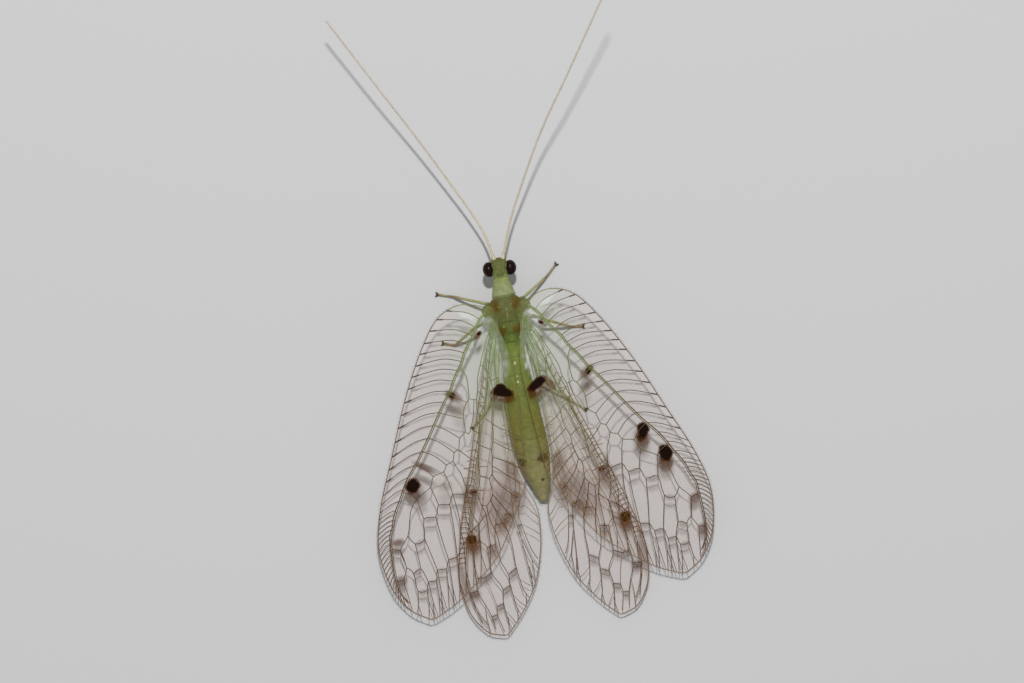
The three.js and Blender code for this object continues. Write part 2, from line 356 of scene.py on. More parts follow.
def carve_trunk(place, normal):
    """How far the skin stands out from the loft: rings, sutures and the lobes of the back."""
    sideways, half_width, half_height, middle = between(BODY_ROWS, place.y)
    x, y = place.x - sideways, place.y
    out = 0.0
    for end in ABDOMEN_ENDS[1:]:
        out -= RING_GROOVE[0] * bump(y - end, RING_GROOVE[1])
        out += RING_SWELL[0] * bump(y - end + SWELL_AHEAD, RING_SWELL[1])
    for end, deep in SEAMS:
        out -= deep * bump(y - end, SEAM_WIDTH)
    if y > THORAX_END:
        out -= SIDE_FOLD[0] * bump((place.z - middle) / half_height + 0.1, SIDE_FOLD[1])
        out += WRINKLES * noise.noise(Vector((x * 3, y * 9, place.z * 3)))
    elif normal.z > 0:
        for start, lobe, height in BACK_LOBES:
            out -= 0.06 * bump(y - start - 0.75 * abs(x), 0.06) * (abs(x) < 0.9)
            out += 0.1 * bump(math.hypot(x, (y - start - 0.55)), 0.28)
            out += height * bump(math.hypot(abs(x) - 0.6, y - lobe), 0.36)
        out -= 0.05 * bump(x, 0.05) * bump(y + 6.4, 0.5)
        out -= 0.02 * bump(y + 7.75, 0.08) * (y < SHIELD_END)
    return out


def skin_part(bm, name, voxel, carve):
    """The closed skin of a part: one remeshed shell, smoothed and carved."""
    shell = evaluated(mesh_of(bm, name), name, voxel)
    bm = bmesh.new()
    bm.from_mesh(shell)
    axes = {"use_axis_x": True, "use_axis_y": True, "use_axis_z": True}
    for _ in range(SMOOTHINGS):
        bmesh.ops.smooth_vert(bm, verts=bm.verts, factor=0.5, **axes)
    bm.normal_update()
    moves = [vertex.normal * carve(vertex.co, vertex.normal) for vertex in bm.verts]
    for vertex, move in zip(bm.verts, moves):
        vertex.co += move
    return bm


TRUNK_LUMPS = [
    # the hips' sockets, the nape and the wings' shoulders: out, along and up, then half sizes
    (0.5, -7.0, 1.72, 0.34, 0.36, 0.4),
    (0.62, -5.75, 1.25, 0.4, 0.42, 0.42),
    (0.62, -4.3, 1.25, 0.4, 0.46, 0.42),
    (0, -8.2, 2.22, 0.54, 0.42, 0.42),
    (1.2, -6.02, 2.5, 0.66, 0.62, 0.36),
    (1.15, -4.4, 2.18, 0.55, 0.55, 0.3),
    (1.5, -6.15, 2.66, 0.36, 0.26, 0.14),
]
SKIN_LOWEST = 0.02

trunk = trunk_shell()
add_lumps(trunk, TRUNK_LUMPS)
body = skin_part(trunk, "trunk", TRUNK_VOXEL, carve_trunk)
for vertex in body.verts:
    vertex.co.z = max(vertex.co.z, SKIN_LOWEST)

HEAD_PLACE = Matrix.Translation(NECK) @ Matrix.Rotation(HEAD_TURN, 4, "Z")
SOCKET = Vector((0.3, -1.2, 0.12))


def carve_head(place, normal):
    """The head's relief: dents round the eyes, the feeler sockets, and the lines of the crown."""
    out = 0.0
    for side in (-1, 1):
        eye = Vector((side * EYE_PLACE[0], *EYE_PLACE[1:]))
        out -= 0.05 * bump((place - eye).length - 0.58, 0.05)
        ring = (place - Vector((side * SOCKET.x, *SOCKET.yz))).length
        out += 0.05 * bump(ring - 0.16, 0.05)
        out -= 0.05 * bump(ring, 0.09)
        out += 0.04 * bump(math.hypot(place.x - side * 0.25, place.y + 0.45), 0.16) * (normal.z > 0)
    out -= 0.04 * bump(place.z + 0.72, 0.04) * (place.y < -0.6)
    return out


SKULL_LUMPS = [
    # the crown, its sides, the face, the neck, the feelers' sockets and the cheeks
    (0, -0.84, 0.08, 0.58, 0.66, 0.47),
    (0, -0.45, 0.02, 0.6, 0.55, 0.47),
    (0.35, -0.9, 0.07, 0.29, 0.5, 0.42),
    (0.35, -0.35, 0.05, 0.28, 0.44, 0.42),
    (0, -0.98, -0.4, 0.44, 0.5, 0.62),
    (0, -1.1, -0.9, 0.32, 0.34, 0.3),
    (0, -0.3, -0.08, 0.45, 0.42, 0.42),
    (0, -0.05, -0.05, 0.5, 0.4, 0.38),
    (*SOCKET, 0.17, 0.17, 0.16),
    (0.3, -0.86, -0.78, 0.22, 0.3, 0.32),
]
skull = bmesh.new()
add_lumps(skull, SKULL_LUMPS)
head = skin_part(skull, "head", HEAD_VOXEL, carve_head)
bmesh.ops.transform(head, matrix=HEAD_PLACE, verts=head.verts)
body.from_mesh(mesh_of(head, "head"))
skin_finish = tinted(
    "green_cuticle", 0.6, 0.3, subsurface_weight=0.12, subsurface_scale=0.0004, specular_ior_level=0.22
)
skin_nodes = ["head", "prothorax", "mesothorax", "metathorax", *(f"abdomen_{ring}" for ring in range(1, 9))]
skin = finish_piece("body_skin", mesh_of(body, "body_skin"), skin_finish, skin_nodes, body_tint)


# The mouthparts: a short upper lip, a pair of jaws and two pairs of jointed palps under the
# face. Small round lumps and tubes, joined in one piece.

HORN = (122, 104, 52)
MOUTH_LUMPS = [
    (0, -1.2, -1.12, 0.26, 0.2, 0.24),
    (0, -0.9, -1.12, 0.3, 0.3, 0.26),
    (0.2, -1.14, -1.24, 0.12, 0.14, 0.2),
]
PALPS = [
    # places from root to tip, and the joints' radii
    (
        [
            (0.24, -0.95, -1.2), (0.42, -1.05, -1.38), (0.5, -1.3, -1.42), (0.46, -1.55, -1.38),
            (0.4, -1.72, -1.3),
        ],
        (0.065, 0.06, 0.055, 0.05),
    ),
    (
        [(0.12, -0.8, -1.3), (0.22, -0.9, -1.5), (0.26, -1.12, -1.56), (0.24, -1.28, -1.52)],
        (0.055, 0.05, 0.045),
    ),
]


def tubes(name, runs, resolution=2):
    """Closed round tubes: each run is a list of places with the tube's radius there."""
    curve = bpy.data.curves.new(name, "CURVE")
    curve.dimensions = "3D"
    curve.bevel_depth = 1.0
    curve.bevel_resolution = resolution
    curve.use_fill_caps = True
    for run in runs:
        spline = curve.splines.new("POLY")
        spline.points.add(len(run) - 1)
        for point, (place, radius) in zip(spline.points, run):
            point.co = (*place, 1)
            point.radius = radius
    return evaluated(curve, name)


def jointed(path, radii, waist=0.55, steps=5):
    """A run of short barrels along a path, one between each pair of places."""
    run = []
    for (start, end), radius in zip(zip(path, path[1:]), radii):
        for k in range(steps):
            part = k / steps
            swell = waist + (1 - waist) * math.sin(math.pi * min(max(part, 0.02), 0.98)) ** 0.35
            run.append((Vector(start).lerp(Vector(end), part), radius * swell))
    return run + [(Vector(path[-1]), radii[-1] * 0.3)]


def plain(ink):
    """A tint of one colour all over."""
    colour = linear(*ink)
    return lambda place, normal: colour


mouth = bmesh.new()
add_lumps(mouth, MOUTH_LUMPS)
palps = []
for side in (-1, 1):
    for path, radii in PALPS:
        palps.append(jointed([(side * x, y, z) for x, y, z in path], radii))
mouth.from_mesh(tubes("palps", palps))
bmesh.ops.transform(mouth, matrix=HEAD_PLACE, verts=mouth.verts)
mouth = mesh_of(mouth, "mouthparts_piece")
horn_finish = tinted("straw_horn", 0.4, 0.2, 5000.0)
finish_piece("mouthparts_piece", mouth, horn_finish, ["mouthparts"], plain(HORN))


# The eyes: two bulging domes of near-black maroon, set in the sides of the head, glossy, with
# fine facets.

EYE_MAROONS, FACETS = ((16, 5, 4), (36, 14, 10)), 26000.0


def eye_finish():
    """Glossy maroon, with the facets as a fine relief."""
    finish = Finish("maroon_eye")
    cells = {"Vector": finish.place(), "Scale": FACETS, "Randomness": 0.25}
    facets = finish.node("ShaderNodeTexVoronoi", None, cells)
    cloud = finish.grain(2500.0)
    colour = finish.mix(cloud, linear(*EYE_MAROONS[0]), linear(*EYE_MAROONS[1]))
    normal = finish.relief(facets * -1.0, 0.000006)
    gloss = {"roughness": 0.16, "specular_ior_level": 0.12, "coat_weight": 0.05, "coat_roughness": 0.04}
    return finish.surface(base_color=colour, normal=normal, **gloss)


eye_gloss = eye_finish()
for side, name in ((1, "eye_left"), (-1, "eye_right")):
    bm = bmesh.new()
    bmesh.ops.create_uvsphere(bm, u_segments=64, v_segments=40, radius=1.0)
    place = Matrix.Translation((side * EYE_PLACE[0], *EYE_PLACE[1:])) @ Matrix.Diagonal((*EYE_HALVES, 1))
    bmesh.ops.transform(bm, matrix=HEAD_PLACE @ place, verts=bm.verts)
    finish_piece(name + "_dome", mesh_of(bm, name), eye_gloss, [name])


# The feelers: a barrel and a bead at the face, then a whip of about 145 short rings, thin as a
# hair, straw-coloured. Each is one tube whose radius dips between rings.

FEELERS = {
    "left": [
        (0.34, -10.5, 2.48), (0.61, -11.82, 2.5), (1.28, -13.54, 2.6), (2.16, -15.42, 2.75),
        (4.12, -19.45, 3.4), (6.65, -24.31, 4.2), (9.36, -29.57, 4.7),
    ],
    "right": [
        (-0.68, -10.42, 2.52), (-1.01, -11.28, 2.8), (-1.65, -12.76, 3.2), (-2.59, -14.53, 3.9),
        (-4.89, -18.47, 5.8), (-7.68, -22.4, 8.2), (-10.95, -27.07, 10.3), (-11.77, -28.23, 10.6),
    ],
}
FEELER_RINGS = 145
FEELER_RADIUS = (0.088, 0.06)
FEELER_COLOURS = ((212, 204, 172), (210, 196, 178))
BARREL_END = Vector((0.36, -1.62, 0.18))
BARREL_RADIUS, BEAD_RADIUS = (0.125, 0.035), (0.085, 0.02)
RING_SHAPE = ((0.06, 0.84), (0.3, 1.0), (0.8, 1.08), (0.96, 0.96))


def smooth_path(points, steps):
    """Places along a smooth line through the points."""
    points = [Vector(point) for point in points]
    out = []
    for i in range(len(points) - 1):
        after = points[min(i + 2, len(points) - 1)]
        around = [points[max(i - 1, 0)], points[i], points[i + 1], after]
        out += [Vector(catmull(*axis, k / steps) for axis in zip(*around)) for k in range(steps)]
    return out + [points[-1]]


def walk(path, places):
    """The places at these distances along a path, with the direction of travel."""
    lengths = [0.0]
    for a, b in zip(path, path[1:]):
        lengths.append(lengths[-1] + (b - a).length)
    out, leg = [], 0
    for distance in places:
        while leg < len(path) - 2 and lengths[leg + 1] < distance:
            leg += 1
        part = (distance - lengths[leg]) / max(lengths[leg + 1] - lengths[leg], 1e-9)
        here, there = path[leg], path[leg + 1]
        out.append((here.lerp(there, min(part, 1.0)), (there - here).normalized()))
    return out


def path_length(path):
    return sum((b - a).length for a, b in zip(path, path[1:]))


def swollen(start, end, radius, steps):
    """A run from start to end whose radius is a size and a swelling in the middle."""
    shares = [k / steps for k in range(steps + 1)]
    return [(start.lerp(end, share), radius[0] + radius[1] * math.sin(math.pi * share)) for share in shares]


def feeler_tint(place, normal):
    """Straw at the face, browner out along the feeler's 19 mm."""
    part = min(max((-10.5 - place.y) / 19, 0), 1)
    return linear(*Vector(FEELER_COLOURS[0]).lerp(Vector(FEELER_COLOURS[1]), part**0.6))


feeler_runs = {}
for side, name in ((1, "left"), (-1, "right")):
    socket = HEAD_PLACE @ Vector((side * SOCKET.x, *SOCKET.yz))
    barrel = HEAD_PLACE @ Vector((side * BARREL_END.x, *BARREL_END.yz))
    start = Vector(FEELERS[name][0])
    path = smooth_path(FEELERS[name], 30)
    whole = path_length(path)
    base = swollen(socket, barrel, BARREL_RADIUS, 6)
    bead = swollen(barrel, start, BEAD_RADIUS, 5)
    whip = []
    for ring in range(FEELER_RINGS):
        for part, swell in RING_SHAPE:
            share = (ring + part) / FEELER_RINGS
            radius = FEELER_RADIUS[0] + (FEELER_RADIUS[1] - FEELER_RADIUS[0]) * share**0.5
            whip.append((share * whole, radius * swell))
    spots = walk(path, [distance for distance, radius in whip])
    run = [(spot[0], radius) for spot, (_, radius) in zip(spots, whip)]
    feeler_runs[name] = run
    mesh = tubes(f"feeler_{name}", [base, bead, run])
    nodes = [f"antenna_{name}_scape", f"antenna_{name}_flagellum"]
    finish_piece(f"feeler_{name}", mesh, horn_finish, nodes, feeler_tint)


# The legs: three slender pairs of pale green thigh, straw shin and a foot of five short
# joints that ends in a pair of dark claws with a pad between. Each leg is one piece.

LEG_ROOTS = {
    # the hip and the joint below it, on the left
    "fore": [(0.5, -6.75, 1.6), (0.9, -6.5, 0.8)],
    "mid": [(0.62, -5.75, 1.25), (1.05, -5.5, 0.78)],
    "hind": [(0.62, -4.3, 1.25), (1.1, -3.85, 0.78)],
}
LEGS = {
    # knee, ankle, toe
    "fore_left": [(1.36, -6.62, 1.6), (3.83, -7.65, 0.24), (4.88, -7.98, 0.1)],
    "fore_right": [(-1.47, -6.63, 1.6), (-3.42, -7.85, 0.24), (-4.25, -8.6, 0.1)],
    "mid_left": [(2.63, -5.0, 2.1), (4.28, -4.0, 0.24), (5.1, -4.28, 0.1)],
    "mid_right": [(-2.63, -4.73, 2.1), (-4.5, -3.83, 0.24), (-5.4, -3.68, 0.1)],
    "hind_left": [(1.72, -0.3, 1.5), (3.15, 1.6, 0.24), (4.08, 2.33, 0.1)],
    "hind_right": [(-1.62, -0.35, 1.5), (-3.5, 1.6, 0.24), (-4.5, 2.48, 0.1)],
}
THIGH_GREEN, SHIN_STRAW, FOOT_BROWN = (164, 170, 112), (178, 164, 118), (130, 104, 72)
CLAW_DARK = (48, 32, 24)
HIND_PALE, HIND_FADE = (190, 204, 170), 0.6
KNEE_SHADE, FOOT_SHADE = (0.16, 0.55), (0.4, 0.9)
HIP_RADII, JOINT_RADII = (0.1, 0.26, 0.24, 0.17, 0.1), (0.08, 0.16, 0.17, 0.14)
THIGH_RADII, THIGH_BOW = (0.13, 0.17, 0.17, 0.15, 0.13, 0.12, 0.09), 0.06
SHIN_RADII, SHIN_BOW = (0.1, 0.115, 0.105, 0.1, 0.1, 0.11, 0.075), 0.1
FOOT_JOINTS, FOOT_WAIST = (0.3, 0.15, 0.13, 0.12, 0.3), 0.62
FOOT_RADII = (0.085, 0.08, 0.08, 0.082, 0.085)
CLAW = [(-0.04, 0.02, 0.0), (0.06, 0.1, 0.01), (0.15, 0.15, 0.0), (0.2, 0.13, -0.05)]
CLAW_RADII = (0.06, 0.055, 0.04, 0.015)
PAD, PAD_RADII, PAD_DROP = (-0.02, 0.07, 0.14), (0.06, 0.085, 0.05), 0.01


def swelling(start, end, radii, steps=10, bow=0.0):
    """A run from start to end whose radius follows the listed ones, bowed a little upwards."""
    run = []
    rows = [(k / (len(radii) - 1), radius) for k, radius in enumerate(radii)]
    for k in range(steps + 1):
        part = k / steps
        lift = Vector((0, 0, bow * math.sin(math.pi * part)))
        run.append((start.lerp(end, part) + lift, between(rows, part)[0]))
    return run


def leg_tint(knee, ankle, toe, pale):
    """Green to straw to brown along a leg, faded towards a pale green by a share."""
    def tint(place, normal):
        near_foot = min((place - ankle).length, (place - toe).length)
        shin = (ankle - knee).length
        part = min(max((place - knee).length / shin, 0), 1)
        outer = (place - knee).dot(ankle - knee) > 0
        colour = Vector(THIGH_GREEN).lerp(Vector(SHIN_STRAW), part if outer else 0)
        at_knee = bump((place - knee).length, KNEE_SHADE[0]) * KNEE_SHADE[1]
        dark = max(at_knee, bump(near_foot, FOOT_SHADE[0]) * FOOT_SHADE[1])
        colour = colour.lerp(Vector(FOOT_BROWN), dark)
        return linear(*colour.lerp(Vector(HIND_PALE), pale))

    return tint


leg_finish = tinted("leg_cuticle", 0.42, 0.25, 3600.0)
claw_runs, leg_runs = [], []
for name, tips in LEGS.items():
    pair, flank = name.split("_")
    side = 1 if flank == "left" else -1
    hip, below = [Vector((side * out, along, up)) for out, along, up in LEG_ROOTS[pair]]
    knee, ankle, toe = [Vector(point) for point in tips]
    foot = [ankle]
    for share in FOOT_JOINTS:
        foot.append(foot[-1] + (toe - ankle) * share / sum(FOOT_JOINTS))
    runs = [
        swelling(hip, below, HIP_RADII),
        swelling(below - (hip - below) * 0.02, below.lerp(knee, 0.08), JOINT_RADII),
        swelling(below.lerp(knee, 0.05), knee, THIGH_RADII, 14, THIGH_BOW),
        swelling(knee, ankle, SHIN_RADII, 14, SHIN_BOW),
        jointed(foot, FOOT_RADII, FOOT_WAIST),
    ]
    leg_runs += runs[1:]
    nodes = [f"leg_{name}_{part}" for part in ("coxa", "femur", "tibia", "tarsus")]
    tint = leg_tint(knee, ankle, toe, HIND_FADE if pair == "hind" else 0)
    finish_piece(f"leg_{name}_limb", tubes(f"leg_{name}", runs), leg_finish, nodes, tint)
    ahead = Vector(((toe - ankle).x, (toe - ankle).y, 0)).normalized()
    aside = Vector((-ahead.y, ahead.x, 0))
    for turn in (-1, 1):
        hook = [toe + ahead * x + aside * turn * y + Vector((0, 0, z)) for x, y, z in CLAW]
        claw_runs.append(list(zip(hook, CLAW_RADII)))
    pad = [toe + ahead * reach - Vector((0, 0, PAD_DROP)) for reach in PAD]
    claw_runs.append(list(zip(pad, PAD_RADII)))
claw_finish = tinted("dark_claw", 0.35, 0.2, 5000.0)
finish_piece("claws", tubes("claws", claw_runs), claw_finish, tint=plain(CLAW_DARK))


# The wings' films: four clear membranes, nearly flat, the hind pair under the fore pair. Each
# is a grid drawn out between the wing's front and hind margins and given its thickness.
# Places on a wing count steps of its drawing, out from the body's midline and back along it.

STEP = 0.075
RIDGE = smooth_rows([(-7, 3.32), (-3, 3.18), (0, 3.0), (4.5, 2.86), (8, 2.36), (12, 1.98), (18.2, 1.6)])
ROOF_SLOPE = 0.045
HINGE, HINGE_DROP, HINGE_REACH = (1.6, -5.9), 0.42, 1.3
WING_SPACING = 0.64
FILM_THICKNESS, RIPPLE = 0.02, 0.03
FORE_FRONT = [
    (0.7, -6.1), (1.65, -6.45), (3.38, -6.9), (5.25, -6.15), (6.98, -3.83), (8.78, -0.45),
    (10.43, 3.38), (12.0, 7.13), (12.68, 10.13), (12.23, 13.13), (11.18, 14.93), (9.95, 15.82),
    (9.6, 15.92),
]
FORE_HIND = [
    (0.7, -5.4), (0.85, -4.7), (0.6, -3.6), (0.36, -2.2), (0.3, -0.8), (0.4, 0.6), (0.5, 2.25),
    (0.9, 6.75), (2.1, 9.15), (3.75, 11.85), (5.7, 13.65), (7.5, 15.0), (9.1, 15.78), (9.6, 15.92),
]
HIND_FRONT = [
    (0.7, -4.5), (1.9, -3.8), (2.85, -0.75), (4.13, 3.0), (5.25, 6.38), (6.15, 9.0), (6.9, 12.0),
    (7.13, 13.9), (6.75, 16.1), (5.78, 17.6), (4.75, 18.06), (4.45, 18.12),
]
HIND_HIND = [
    (0.7, -3.8), (1.35, -3.0), (1.48, -1.0), (1.52, 1.5), (1.5, 4.6), (1.2, 6.9), (0.55, 8.6),
    (0.4, 9.9), (0.68, 12.0), (1.5, 14.5), (2.78, 16.5), (4.1, 17.95), (4.45, 18.12),
]
# The cross veins, as places out and back. The outer ones are edged with brown clouds set back on the side
# where their shadows fall: partly brown edging, partly painted shadow.
FORE_CROSS = [
    [(72, -7), (56, 5)], [(85, 10), (72, 16), (62, 20)], [(92, 21), (79, 30), (69, 39)],
    [(100, 33), (89, 40), (77, 52)],
    [(109, 45), (97, 52), (87, 63)], [(117, 57), (109, 63), (102, 72)], [(135, 82), (127, 86), (122, 91)],
    [(156, 136), (148, 139)], [(158, 169), (150, 169)],
    [(62, 94), (71, 91)],
    [
        (71, 91), (74, 95), (86, 93), (91, 102), (102, 101), (107, 112), (119, 112), (122, 132),
        (132, 135), (138, 126),
    ],
    [
        (57, 118), (62, 123), (66, 127), (75, 133), (84, 143), (93, 155), (102, 157), (106, 165),
        (115, 165), (118, 175), (126, 175), (129, 183), (138, 182), (139, 164), (145, 157),
    ],
    [(126, 175), (131, 161), (139, 164)],
    [(30, -27), (36, -29)], [(38, 0), (43, -4)], [(46, 4), (52, 2)], [(38, 8), (46, 7)],
    [(20, -14), (28, -12)],
    [(35, 29), (40, 25), (46, 22)], [(40, 56), (51, 49)], [(47, 84), (56, 80)],
    [(59, 64), (66, 57), (72, 50)],
    [(35, 30), (28, 36), (20, 41), (8, 50)], [(37, 48), (28, 55), (18, 62), (9, 68)],
    [(40.5, 64), (35, 66), (25, 72), (12, 82)],
    [(42, 72), (34, 79), (16, 96)], [(44, 80), (38, 92), (28, 103), (22, 108)],
    [(47, 100), (40, 112), (31, 128)],
    [(50, 105), (47, 116), (43, 128), (38, 141)], [(55, 110), (54, 125), (50, 140), (49, 157)],
]
HIND_CROSS = [
    [(18, 34), (25, 34)], [(18, 42), (25, 42)], [(20, 74), (28, 70)], [(20, 104), (27, 102)],
    [(24, 135), (29, 136)],
    [(30, 124), (38, 122)], [(40, 130), (50, 131)], [(53, 150), (62, 152)],
    [(68, 143), (75, 148), (82, 142)],
    [(37, 177), (45, 182)], [(46, 193), (54, 197)], [(56, 210), (63, 212)], [(64, 220), (70, 221)],
    [(62, 177), (70, 181), (78, 180)],
    [(79, 193), (87, 194)], [(54, 53), (65, 53)], [(60, 70), (71, 70)], [(47, 72), (56, 70)],
    [(55, 95), (63, 93)],
]
# The kinds of mark: dark spots; brown clouds, some of them painted shadows; a whitish milk, partly painted
# sheen, whose thin strong streaks are painted glints; and green.
DARK, CLOUD_AND_SHADOW, MILK_AND_GLINT, GREEN = "dark", "cloud", "milk", "green"
# How soft each kind's edge is, and how squarely its corners are filled.
SPOT_EDGES = {DARK: (0.8, 2.6), CLOUD_AND_SHADOW: (1.0, 2), MILK_AND_GLINT: (1.0, 2)}
# From how far back the cross veins are edged with brown cloud and painted shadow, how strongly, how far it
# is set back towards their shadows, and its half width.
FORE_EDGING_AND_SHADOW, HIND_EDGING_AND_SHADOW, EDGE_SHADOW_SET, EDGE_SHADOW_HALF = (88, 0.42), (100, 0.5), 1.8, 3
# Where the film is greenest, how far the green goes, and how much narrower it is than long.
GREEN_HEART, GREEN_REACH, GREEN_NARROW = (1.0, -2.4), 5.2, 1.6
# Squares across and along each film.
FORE_GRID, HIND_GRID = (100, 240), (70, 220)
BOTH_SPOTS = [
    # kind, out, back, half length, half width, angle from straight out, darkness
    (CLOUD_AND_SHADOW, 19, 6, 11, 4.5, -15, 0.35),
    (DARK, 31.5, -60.5, 2.4, 1.7, 25, 0.7),
    (CLOUD_AND_SHADOW, 33, -59, 4.5, 2.4, 45, 0.8),
    (MILK_AND_GLINT, 28.5, -63, 2.6, 2, 0, 0.8),
    (CLOUD_AND_SHADOW, 57, -27.5, 3, 2.2, 40, 0.35),
    # The broad weak milk is a whitish veil on the film by the body, partly painted sheen.
    (MILK_AND_GLINT, 22, -62, 9, 18, 12, 0.26),
    (MILK_AND_GLINT, 14, -36, 9, 28, -12, 0.2),
    (MILK_AND_GLINT, 11, -22, 3, 14, -14, 0.22),
    (CLOUD_AND_SHADOW, 29, 4, 5, 5, 0, 0.45),
    (DARK, 70, -5, 5, 3, -45, 0.7),
    (CLOUD_AND_SHADOW, 67.5, -3, 8, 4.5, -40, 0.95),
    (CLOUD_AND_SHADOW, 63, 10, 6, 5, 0, 0.35),
    (DARK, 65.5, 94, 4, 2.4, -10, 0.45),
    (CLOUD_AND_SHADOW, 68, 98, 9, 6, 0, 0.5),
    (CLOUD_AND_SHADOW, 71, 88, 3, 8, 0, 0.4),
]
LEFT_SPOTS = [
    # A painted glint: a thin white streak near the hinge.
    (MILK_AND_GLINT, 39, -79, 9, 2.6, -35, 0.9),
    (MILK_AND_GLINT, 20, -72, 4, 3, 0, 0.4),
    (DARK, 19, 1.4, 10, 4.2, -17, 1.0),
    (DARK, 20, -3, 4.6, 4.4, 35, 1.0),
    (CLOUD_AND_SHADOW, 15, 9, 8, 4.5, -15, 0.4),
    (DARK, 124, 77.5, 7, 6.2, 30, 1.0),
    (CLOUD_AND_SHADOW, 123, 80, 8, 8, 0, 0.6),
    (CLOUD_AND_SHADOW, 118, 90, 6, 6, 0, 0.5),
    (CLOUD_AND_SHADOW, 109, 61.5, 11, 3, -35, 1.0),
    (CLOUD_AND_SHADOW, 149, 131, 6, 3.4, 0, 1.0),
    (CLOUD_AND_SHADOW, 152, 169, 5, 4.4, 0, 0.85),
    (CLOUD_AND_SHADOW, 92, 84, 7, 5, 0, 0.35),
]
RIGHT_SPOTS = [
    # Two painted glints: thin white streaks, near the hinge and over the body.
    (MILK_AND_GLINT, 40, -81, 9, 2.8, -32, 1.0),
    (MILK_AND_GLINT, 11.5, -25.3, 7.6, 1.3, -68, 1.0),
    (MILK_AND_GLINT, 20.6, -72, 4, 3.2, 0, 0.9),
    (DARK, 16.3, -0.6, 10, 4.4, -30, 1.0),
    (CLOUD_AND_SHADOW, 12, 8.5, 8, 4, -30, 0.4),
    (CLOUD_AND_SHADOW, 30.5, 1, 6.5, 2.8, 55, 0.85),
    (DARK, 113, 62.5, 6, 4.8, 60, 1.0),
    # The weaker dark spot and the cloud behind this big dark spot lie where its shadow falls: painted
    # shadow, partly a brown halo.
    (DARK, 110, 69, 5.4, 6.4, 10, 0.55),
    (CLOUD_AND_SHADOW, 110, 70, 7, 9, 10, 0.8),
    (DARK, 131, 89, 6.8, 5.8, 60, 1.0),
    # Behind this big dark spot too, a weaker dark spot and a cloud where its shadow falls: painted shadow,
    # partly a brown halo.
    (DARK, 129.5, 94, 6, 6.4, 0, 0.6),
    (CLOUD_AND_SHADOW, 129, 97, 7, 9, 0, 0.85),
    (CLOUD_AND_SHADOW, 151, 140, 5, 4, -30, 1.0),
    (CLOUD_AND_SHADOW, 154, 172, 4.5, 5, 0, 0.8),
]
HIND_SPOTS = {
    "left": [(DARK, 76, 141, 4.8, 4.6, 0, 0.95), (CLOUD_AND_SHADOW, 75, 146, 6.5, 9, 0, 0.85)],
    "right": [(DARK, 80, 146, 4.8, 4.6, 0, 0.95), (CLOUD_AND_SHADOW, 79, 151, 6, 9, 0, 0.85)],
    "both": [
        (DARK, 11, 74, 6.5, 5, 30, 0.8),
        (CLOUD_AND_SHADOW, 22, 78, 11, 6, -40, 0.55),
        (CLOUD_AND_SHADOW, 35, 125, 6, 3.5, 0, 0.6),
        (CLOUD_AND_SHADOW, 82, 196, 5, 4.5, 0, 0.5),
        (CLOUD_AND_SHADOW, 57, 156, 5, 5, 0, 0.3),
        (CLOUD_AND_SHADOW, 91, 180, 3, 24, 0, 0.35),
        (CLOUD_AND_SHADOW, 30, 104, 14, 18, 0, 0.34),
        (CLOUD_AND_SHADOW, 48, 118, 12, 20, 0, 0.26),
        (CLOUD_AND_SHADOW, 40, 128, 5, 4, 0, 0.6),
    ],
}


def roof(x, y):
    """The height of a forewing's middle surface at this place."""
    lift = between(RIDGE, y)[0] - ROOF_SLOPE * abs(x)
    return lift - HINGE_DROP * bump(math.hypot(abs(x) - HINGE[0], y - HINGE[1]), HINGE_REACH)


def ripple(place, drop):
    """The film's slight waves, which its veins follow."""
    return RIPPLE * noise.noise(Vector((place.x * 0.9, place.y * 0.9, 3.0 + drop)))


def edging_and_shadow(cross, first, strength):
    """Brown clouds along the cross veins from this far back, set back where the veins' shadows fall: partly
    brown edging, partly painted shadow.
    """
    marks = []
    for points in cross:
        for (out, back), (beyond, behind) in zip(points, points[1:]):
            aside, down = beyond - out, behind - back
            if back > first and abs(aside) > abs(down):
                place = (out + beyond) / 2, (back + behind) / 2 + EDGE_SHADOW_SET
                angle = math.degrees(math.atan2(down, aside))
                marks.append((CLOUD_AND_SHADOW, *place, math.hypot(aside, down) * 0.55, EDGE_SHADOW_HALF, angle, strength))
    return marks


def spot_depth(spots, kind, out, back):
    """How dark the wing's spots of one kind are at a place, from 0 to 1."""
    clear = 1.0
    soft, corner = SPOT_EDGES[kind]
    for mark, across, along, long, wide, angle, strength in spots:
        dx, dy = out - across, back - along
        if abs(dx) < long * 2 + wide and abs(dy) < long * 2 + wide:
            turn = math.radians(angle)
            u = (dx * math.cos(turn) + dy * math.sin(turn)) / long
            v = (dy * math.cos(turn) - dx * math.sin(turn)) / wide
            reach = (abs(u) ** corner + abs(v) ** corner) ** (1 / corner)
            clear *= 1 - strength * min(max((1 + soft / 2 - reach) / soft, 0), 1)
    return 1 - clear


